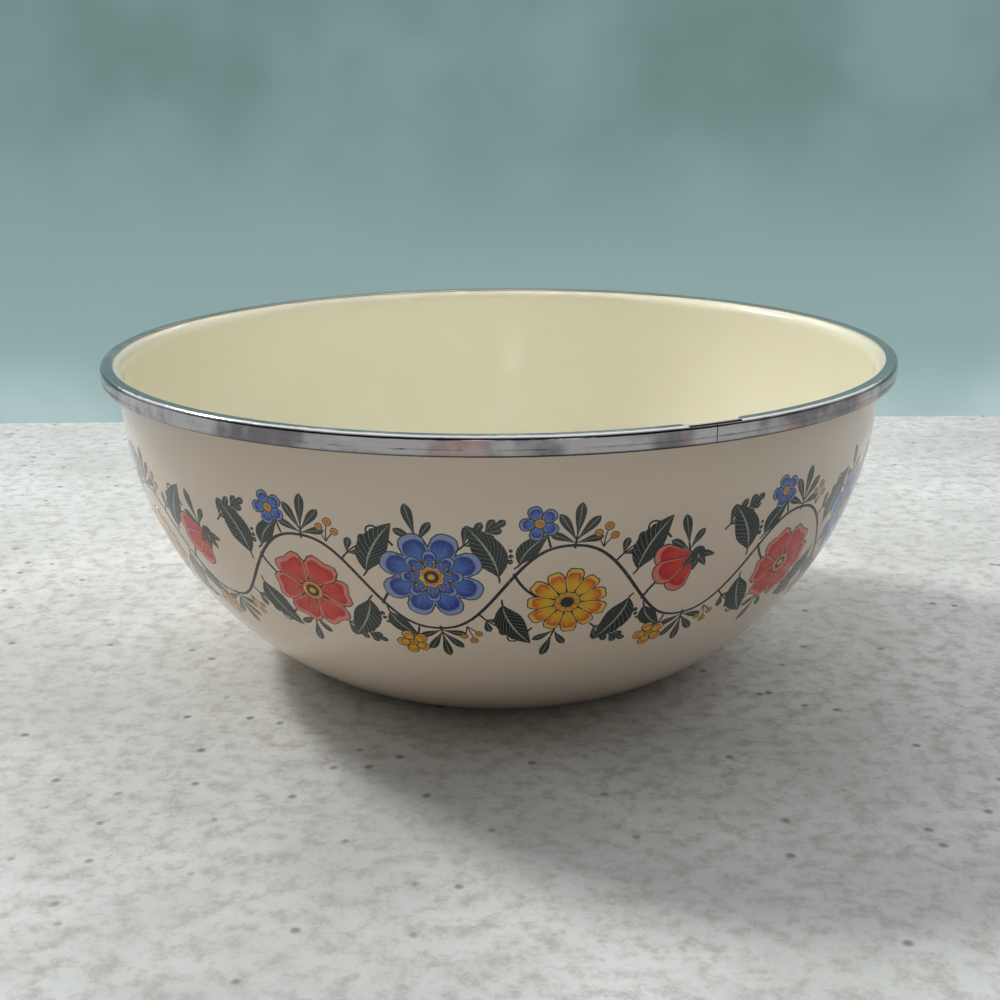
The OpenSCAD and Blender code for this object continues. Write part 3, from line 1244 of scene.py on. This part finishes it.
        def rule(s: Numbers, t: Numbers) -> tuple[Numbers, Numbers]:
            """Bends a grid to the tendril.

            Args:
                s: Shares of the way along, 0 to 1.
                t: Shares of the way across, -1 to 1.

            Returns:
                The points on the transfer.
            """
            cut = 0.42
            turn = np.maximum(0.0, (s - cut) / (1 - cut)) * 2.6 * np.pi
            r = curl * (1 - 0.78 * np.maximum(0.0, (s - cut) / (1 - cut)))
            x = np.where(s < cut, reach * s / cut, reach + r * np.sin(turn))
            y = np.where(s < cut, 0.0, curl - r * np.cos(turn)) * side
            nx, ny = np.where(s < cut, 0.0, -np.sin(turn)), np.where(s < cut, 1.0, np.cos(turn))
            half = 0.34 - 0.12 * s
            return spot.put(x + t * half * nx, y + t * half * ny * side)

        self.strokes.append(Stroke(Ink.LINE, 1, 34, 1, rule))

    def berries(self, spot: Spot) -> None:
        """Draws three berries on thin stalks.

        Args:
            spot: The foot of the stalks.
        """
        for turn, reach, size in ((-26, 4.6, 1.0), (4, 6.6, 1.15), (34, 4.9, 1.0)):
            stalk = spot.turned(turn)
            bends = [(0, 0), (reach * 0.4, 0.4), (reach * 0.7, 0.2), (reach, 0)]
            self.ribbon(Ink.LINE, 1, stalk, bends, (0.2, 0.16), 6)
            self.disc(Ink.BROWN, 2, stalk.spot(reach, 0.0), size * spot.size)

    def specks(self, spot: Spot) -> None:
        """Draws three small dots in a row that shrink."""
        for i, r in enumerate((0.55, 0.42, 0.3)):
            self.disc(Ink.LEAF, 1, spot.spot(1.7 * i, 0.12 * i * i), r)

    def stamens(self, spot: Spot, count: int, near: float, far: float, layer: int) -> None:
        """Draws thin rays with dots at their ends round a flower's middle.

        Args:
            spot: The flower's place.
            count: Number of rays.
            near: Where they start.
            far: Where they end.
            layer: Their layer.
        """
        for i in range(count):
            ray = spot.turned(360 * i / count)
            self.ribbon(Ink.LINE, layer, ray, [(near, 0), (near, 0), (far, 0), (far, 0)], (0.13, 0.1), 2)
            self.disc(Ink.YELLOW, layer, ray.spot(far, 0.0), 0.3 * spot.size)

    def heart_flower(self, spot: Spot) -> None:
        """Draws a red flower with six heart-shaped petals.

        Args:
            spot: Its place.
        """
        for i in range(6):
            turn = spot.turn_deg + 60 * i + (0 if i % 2 else 1.5)
            self.petal(Ink.RED, 4 + 2 * (i % 2), spot, turn, 1.6, 13.3 + 0.5 * (i % 3), 30.5, 0.13, 0.3)
        self.stamens(spot, 12, 3.0, 5.6, 9)
        self.disc(Ink.YELLOW, 9, spot, 3.1)
        self.disc(Ink.LINE, 11, spot, 1.9)
        self.disc(Ink.YELLOW, 12, spot, 1.1)

    def star_flower(self, spot: Spot) -> None:
        """Draws a blue flower with two rows of rounded petals.

        Args:
            spot: Its place.
        """
        for i in range(8):
            self.petal(Ink.BLUE, 3, spot, spot.turn_deg + 45 * i, 2.0, 14.3, 22.0, 0.0, 0.34)
        for i in range(8):
            self.petal(Ink.BLUE, 5, spot, spot.turn_deg + 45 * i + 22.5, 1.6, 8.4, 19.0, 0.0, 0.45)
        self.stamens(spot, 16, 3.2, 5.2, 9)
        self.disc(Ink.YELLOW, 9, spot, 3.5, 8, 0.16)
        self.disc(Ink.LINE, 11, spot, 1.9)
        self.disc(Ink.YELLOW, 12, spot, 1.0)

    def daisy(self, spot: Spot) -> None:
        """Draws a yellow daisy with slim petals.

        Args:
            spot: Its place.
        """
        for i in range(11):
            long = 11.4 + 0.7 * (i % 2)
            self.petal(Ink.YELLOW, 3 + 2 * (i % 2), spot, spot.turn_deg + 360 / 11 * i, 2.4, long, 15.6, 0.05, 0.32)
        self.disc(Ink.BROWN, 8, spot, 3.7, 11, 0.1)
        self.disc(Ink.LINE, 10, spot, 1.7)

    def cup_flower(self, spot: Spot) -> None:
        """Draws a red flower seen from its side, with three petals in a green cup.

        Args:
            spot: Its place.
        """
        for turn, far, half, layer in ((32, 13.4, 19, 4), (-32, 13.4, 19, 4), (0, 14.2, 21, 6)):
            self.petal(Ink.RED, layer, spot, spot.turn_deg + turn, 1.0, far, half, 0.0, 0.2)
        for turn in (-62, -20, 20, 62):
            way = math.radians(turn)
            foot = spot.spot(0.1 * math.cos(way), 0.1 * math.sin(way), spot.turn_deg + turn, spot.size)
            self.blade(SEPAL, foot, 5.8, 2.3)
        self.disc(Ink.LEAF, 9, spot, 2.0)

    def floret(self, spot: Spot, ink: Ink) -> None:
        """Draws a small flower with five round petals.

        Args:
            spot: Its place.
            ink: Its petals' ink.
        """
        for i in range(5):
            self.petal(ink, 3, spot, spot.turn_deg + 72 * i, 0.6, 5.0, 30.0, 0.0, 0.4)
        self.disc(Ink.BROWN, 6, spot, 1.3)


LINE_INK = InkFinish(Ink.LINE.value, srgb(38, 42, 46), srgb(46, 50, 52), srgb(26, 28, 32), 1.0, 0.0)
LEAF_INK = InkFinish(
    Ink.LEAF.value, srgb(12, 22, 25), srgb(28, 44, 46), srgb(158, 172, 160), 2.0, 0.07, 0.08, 3.0, 11.0, 0.045
)
RED_INK = InkFinish(
    Ink.RED.value, srgb(226, 62, 50), srgb(198, 30, 34), srgb(60, 16, 20), 5.0, 0.13, 0.08, 0.6,
    edge=srgb(240, 150, 130),
)
BLUE_INK = InkFinish(
    Ink.BLUE.value, srgb(76, 120, 210), srgb(26, 50, 152), srgb(16, 24, 76), 5.0, 0.13, 0.1, 0.55,
    edge=srgb(158, 182, 222),
)
YELLOW_INK = InkFinish(
    Ink.YELLOW.value, srgb(236, 186, 40), srgb(218, 98, 26), srgb(74, 46, 16), 3.0, 0.12, 0.08, 0.5,
    edge=srgb(244, 214, 110),
)
BROWN_INK = InkFinish(Ink.BROWN.value, srgb(206, 142, 44), srgb(222, 164, 62), srgb(66, 36, 22), 9.0, 0.16, 0.1, 0.9)


@dataclass
class Garland:
    """The printed border: one waved garland that the transfer repeats five times round the bowl."""

    sizes: BowlSizes = SIZES
    repeats: int = 5
    start_deg: float = -126.0
    crest: float = 14.5
    layer_t: float = 0.000006
    sunk: float = 0.00008
    merge_gap: float = 1e-7
    smooth_deg: float = 30.0
    inks: tuple[InkFinish, ...] = (LINE_INK, LEAF_INK, RED_INK, BLUE_INK, YELLOW_INK, BROWN_INK)

    @property
    def length(self) -> float:
        """Length of one repeat in millimetres."""
        return ROUND_MM / self.repeats

    def draw(self) -> Sheet:
        """Draws one repeat: four flowers in the hollows of a waved stem, with leaves, sprigs, tendrils and berries.

        Returns:
            The sheet.
        """
        sheet = Sheet()
        step = self.length / 4
        flat = Spot(0.0, 0.0)
        for i, flower in enumerate((sheet.heart_flower, sheet.star_flower, sheet.daisy, sheet.cup_flower)):
            side, nods = 1 if i % 2 == 0 else -1, flower == sheet.cup_flower
            left, mid, right = step * i, step * (i + 0.5), step * (i + 1)
            crest = self.crest * side
            low, pull = -4.6 * side, step * 0.2
            rise = [(left, 0), (left + pull, crest * 0.75), (mid - pull, crest), (mid, crest)]
            fall = [(mid, crest), (mid + pull, crest), (right - pull, crest * 0.75), (right, 0)]
            stalk = [(left + 3.4, crest * 0.42), (left + 6, 0), (mid - 8, low), (mid, low)]
            for bends, widths, along in ((rise, (0.5, 0.42), 14), (fall, (0.42, 0.5), 14), (stalk, (0.42, 0.34), 10)):
                sheet.ribbon(Ink.LINE, 0, flat, bends, widths, along)
            flower(Spot(mid, low - (3.0 * side if nods else 0.0), 90.0 * side + 14 if nods else 12.0 * i))
            sheet.leaf(Spot(left - 0.5, 5.0 * side, 112 * side), 18.0, 8.6, 1.8 * side)
            sheet.leaf(Spot(left + 0.5, -5.0 * side, -68 * side), 18.0, 8.4, 1.8 * side)
            sheet.leaf(Spot(left + 5.0, crest * 0.62, 58 * side), 11.5, 5.6, -1.4 * side)
            sheet.fan(Spot(mid + 1.0, crest + 0.5 * side, 84 * side), 5, 10.0, 62)
            sheet.fan(Spot(mid - 3.0, low - (4.6 if nods else 11.0) * side, -104 * side), 3, 9.5, 34)
            sheet.sprig(Spot(mid + 7.5, low - 9.0 * side, -46 * side), 10.5, 3, 1.6 * side)
            sheet.sprig(Spot(right - 6.0, crest * 0.6, 52 * side), 9.0, 2, -1.8 * side)
            sheet.tendril(Spot(mid - 5.5, crest * 0.98, 104 * side), 6.2, 2.1, side)
            sheet.tendril(Spot(mid - 9.5, low - 9.5 * side, -128 * side), 6.6, 1.9, -side)
            sheet.berries(Spot(mid + 8.5, crest * 0.93, 76 * side, 0.95))
            sheet.specks(Spot(right + 2.5, -10.0 * side, -80.0 * side))
            sheet.floret(Spot(left + 10.0, 21.5 * side, 20.0), Ink.YELLOW if i % 2 else Ink.BLUE)
        return sheet

    def stroke_piece(self, stroke: Stroke, grids: dict[tuple[int, int], Piece]) -> Piece:
        """Makes a stroke from a copy of a modelled grid and lays it on the wall.

        Args:
            stroke: The stroke.
            grids: The grids that were modelled, by their steps.

        Returns:
            The object.
        """
        key = (stroke.along, stroke.across)
        if key not in grids:
            steps = {"x_subdivisions": stroke.along, "y_subdivisions": stroke.across}
            grids[key] = primitive(bpy.ops.mesh.primitive_grid_add, size=1.0, **steps)
        piece = twin(grids[key])
        flat = np.empty(3 * len(piece.data.vertices))
        piece.data.vertices.foreach_get("co", flat)
        flat = flat.reshape(-1, 3)
        x, y = stroke.rule(flat[:, 0] + 0.5, flat[:, 1] * 2)
        proud = self.layer_t * (stroke.layer + 1)
        piece.data.vertices.foreach_set("co", self.sizes.wall_point(x, y, proud, self.start_deg).ravel())
        return piece

    def print_ink(self, ink: Ink, sheet: Sheet, grids: dict[tuple[int, int], Piece]) -> Piece:
        """Joins one ink's strokes, gives them thickness and repeats them round the bowl.

        Args:
            ink: The ink.
            sheet: The drawn sheet.
            grids: The modelled grids.

        Returns:
            The object.
        """
        pieces = [self.stroke_piece(stroke, grids) for stroke in sheet.strokes if stroke.ink is ink]
        first = pieces[0]
        only(*pieces)
        bpy.ops.object.join()
        first.name = first.data.name = ink.value
        bpy.ops.object.mode_set(mode="EDIT")
        bpy.ops.mesh.select_all(action="SELECT")
        bpy.ops.mesh.remove_doubles(threshold=self.merge_gap)
        bpy.ops.object.mode_set(mode="OBJECT")
        self.face_outwards(first)
        apply_modifier(first, "SOLIDIFY", thickness=self.sunk, offset=-1.0)
        copies = [twin(first) for _ in range(1, self.repeats)]
        for i, copy in enumerate(copies, 1):
            copy.data.transform(Matrix.Rotation(2 * math.pi * i / self.repeats, 4, "Z"))
        only(first, *copies)
        bpy.ops.object.join()
        only(first)
        bpy.ops.object.shade_smooth_by_angle(angle=math.radians(self.smooth_deg))
        return first

    @staticmethod
    def face_outwards(piece: Piece) -> None:
        """Turns round each face of the laid strokes that looks into the bowl.

        Args:
            piece: The strokes, joined.
        """
        only(piece)
        bpy.ops.object.mode_set(mode="EDIT")
        bpy.ops.mesh.select_mode(type="FACE")
        bpy.ops.mesh.select_all(action="DESELECT")
        bpy.ops.object.mode_set(mode="OBJECT")
        for face in piece.data.polygons:
            face.select = face.normal.dot(Vector((face.center.x, face.center.y, 0.0))) < 0
        bpy.ops.object.mode_set(mode="EDIT")
        bpy.ops.mesh.flip_normals()
        bpy.ops.object.mode_set(mode="OBJECT")

    def build(self) -> None:
        """Prints and dresses every ink."""
        sheet = self.draw()
        grids: dict[tuple[int, int], Piece] = {}
        for finish in self.inks:
            piece = self.print_ink(Ink(finish.name), sheet, grids)
            dress(piece, finish.build(), "off_white_enamel")
        for grid in grids.values():
            bpy.data.objects.remove(grid)


# --- the studio ---


@dataclass(frozen=True)
class Lamp:
    """A soft rectangular lamp, or a window that the glaze reflects."""

    name: str
    place: Place
    width: float
    height: float
    power: float
    spread_deg: float = 180.0
    aim: Place = (0.0, 0.0, 0.05)
    tint: Colour = (1.0, 0.985, 0.955)
    mirrored: bool = True

    def build(self) -> None:
        """Adds the lamp to the scene."""
        bpy.ops.object.light_add(type="AREA", location=self.place)
        lamp = bpy.context.active_object
        lamp.name = self.name
        lamp.rotation_euler = (Vector(self.aim) - Vector(self.place)).to_track_quat("-Z", "Y").to_euler()
        lamp.data.shape = "RECTANGLE"
        lamp.data.size, lamp.data.size_y = self.width, self.height
        lamp.data.energy = self.power
        lamp.data.color = self.tint
        lamp.data.spread = math.radians(self.spread_deg)
        lamp.visible_camera = False
        lamp.visible_glossy = self.mirrored


@dataclass(frozen=True)
class FloorFinish(Finish):
    """Pale stone, softly clouded, with a fine grain and small dark pits."""

    light: Colour = srgb(235, 239, 237)
    grain: Colour = srgb(182, 181, 174)
    pit: Colour = srgb(108, 104, 96)
    bounce: Colour = srgb(218, 212, 202)

    def inputs(self, g: Graph, at: Socket) -> dict[str, object]:
        """Works out the shader's inputs.

        Args:
            g: The material's graph.
            at: The place on the object.

        Returns:
            The inputs by name.
        """
        grain = g.noise(at, 150.0, 6.0, 0.72)
        pits = g.add("TexVoronoi", {"Vector": at, "Scale": 105.0})
        rare = g.math("GREATER_THAN", g.add("SeparateColor", {0: pits.outputs["Color"]}).outputs[0], 0.62)
        pit = g.times(g.minus(1.0, g.ramp(pits.outputs["Distance"], 0.04, 0.2)), rare)
        tone = g.mix(g.ramp(g.noise(at, 9.0, 5.0, 0.6), 0.32, 0.68), self.colour, self.light)
        tone = g.mix(g.times(g.ramp(grain, 0.42, 0.68), 0.8), tone, self.grain)
        tone = g.mix(g.times(pit, 0.7), tone, self.pit)
        tone = g.mix(g.add("LightPath").outputs["Is Diffuse Ray"], tone, self.bounce)
        relief = g.bump(0.7, 0.0006, g.minus(g.times(grain, 0.5), pit))
        return {"Base Color": tone, "Roughness": 0.7, "Normal": relief}


@dataclass
class Studio:
    """The pale floor, the backdrop, the lamps and the camera."""

    floor_far: float = 0.330
    floor_w: float = 8.0
    floor_drop: float = 0.00005
    backdrop_w: float = 6.0
    backdrop_h: float = 0.262
    camera_place: Place = (0.0, -0.4982, 0.1946)
    camera_pitch: float = 16.30
    camera_roll: float = -0.44
    lens_mm: float = 54.0
    sky: float = 1.0
    room_front: Colour = (0.01, 0.01, 0.011)
    room_back: Colour = (1.14, 1.15, 1.17)
    floor_finish: FloorFinish = FloorFinish("pale_floor", srgb(209, 213, 210))
    lamps: tuple[Lamp, ...] = (
        Lamp("key", (-3.8, 2.65, 4.3), 0.9, 0.9, 196.0),
        Lamp("inside_fill", (0.0, -0.85, 0.72), 0.36, 0.06, 0.045, 10.0, (0.0, 0.11, 0.075), mirrored=False),
        Lamp("window_left", (-0.18, -2.0, 0.38), 0.27, 0.55, 0.9),
        Lamp("window_right", (0.62, -2.0, 0.38), 0.27, 0.55, 0.7),
    )

    def floor(self) -> None:
        """Lays a large pale floor."""
        steps, place = {"x_subdivisions": 4, "y_subdivisions": 4}, (0.0, 0.0, -self.floor_drop)
        floor = primitive(bpy.ops.mesh.primitive_grid_add, place, size=self.floor_w, **steps)
        floor.name = "floor"
        floor.data.materials.append(self.floor_finish.build())

    def backdrop(self) -> None:
        """Stands a softly clouded backdrop behind the floor's far edge, seen from its front only."""
        wall = primitive(bpy.ops.mesh.primitive_plane_add, size=1.0)
        wall.name = "backdrop"
        for vertex in wall.data.vertices:
            vertex.co = (vertex.co.x * self.backdrop_w, self.floor_far, (vertex.co.y + 0.5) * self.backdrop_h - MM)
        material = bpy.data.materials.new("backdrop")
        material.use_nodes = True
        material.node_tree.nodes.clear()
        g = Graph(material.node_tree)
        at = g.add("TexCoord").outputs["Object"]
        cloud = g.noise(at, 8.0, 3.0, 0.5)
        height = g.add("SeparateXYZ", {0: at}).outputs[2]
        low = g.mix(g.ramp(height, 0.0, 0.05), srgb(176, 200, 200), srgb(146, 172, 172))
        tone = g.mix(g.ramp(height, 0.03, 0.2), low, srgb(106, 134, 131))
        tone = g.mix(g.times(g.ramp(cloud, 0.35, 0.68), 0.6), tone, srgb(138, 163, 164))
        glow = g.add("Emission", {"Color": tone, "Strength": 1.0}).outputs[0]
        clear = g.add("BsdfTransparent").outputs[0]
        path = g.add("LightPath").outputs
        mirrored = g.math("MAXIMUM", path["Is Glossy Ray"], path["Is Transmission Ray"])
        seen = g.math("MAXIMUM", path["Is Camera Ray"], mirrored)
        front = g.times(seen, g.minus(1.0, g.add("NewGeometry").outputs["Backfacing"]))
        shown = g.add("MixShader", {0: front, 1: clear, 2: glow}).outputs[0]
        g.add("OutputMaterial", {"Surface": shown})
        wall.data.materials.append(material)
        wall.visible_shadow = False
        wall.visible_diffuse = False

    def lights(self) -> None:
        """Adds the lamps and the light of the room, which comes from behind the bowl and above."""
        for lamp in self.lamps:
            lamp.build()
        world = bpy.data.worlds.new("room")
        bpy.context.scene.world = world
        world.use_nodes = True
        background = world.node_tree.nodes["Background"]
        g = Graph(world.node_tree)
        way = g.add("SeparateXYZ", {0: g.add("TexCoord").outputs["Object"]}).outputs
        front = g.plus(g.times(way[1], 0.75), g.times(way[2], 0.66))
        tone = g.mix(g.ramp(front, -0.1, 1.05), self.room_front, self.room_back)
        g.tree.links.new(tone, background.inputs["Color"])
        background.inputs["Strength"].default_value = self.sky

    def camera(self) -> None:
        """Adds the camera where the photograph was taken."""
        bpy.ops.object.camera_add(location=self.camera_place)
        camera = bpy.context.active_object
        pitch = Matrix.Rotation(math.radians(90 - self.camera_pitch), 4, "X")
        camera.rotation_euler = (pitch @ Matrix.Rotation(math.radians(self.camera_roll), 4, "Z")).to_euler()
        camera.data.lens = self.lens_mm
        camera.data.sensor_width = 36.0
        camera.data.clip_start = 0.01
        camera.data.clip_end = 50.0
        camera.data.dof.use_dof = False
        bpy.context.scene.camera = camera

    def build(self) -> None:
        """Builds the studio."""
        self.floor()
        self.backdrop()
        self.lights()
        self.camera()
        bpy.context.scene.view_settings.view_transform = "Standard"


def main() -> None:
    """Builds the bowl and the studio."""
    logging.basicConfig(level=logging.INFO, format="%(name)s: %(message)s")
    EnamelledSheet().build()
    RimStrip().build()
    Garland().build()
    Studio().build()


if __name__ == "__main__":
    main()
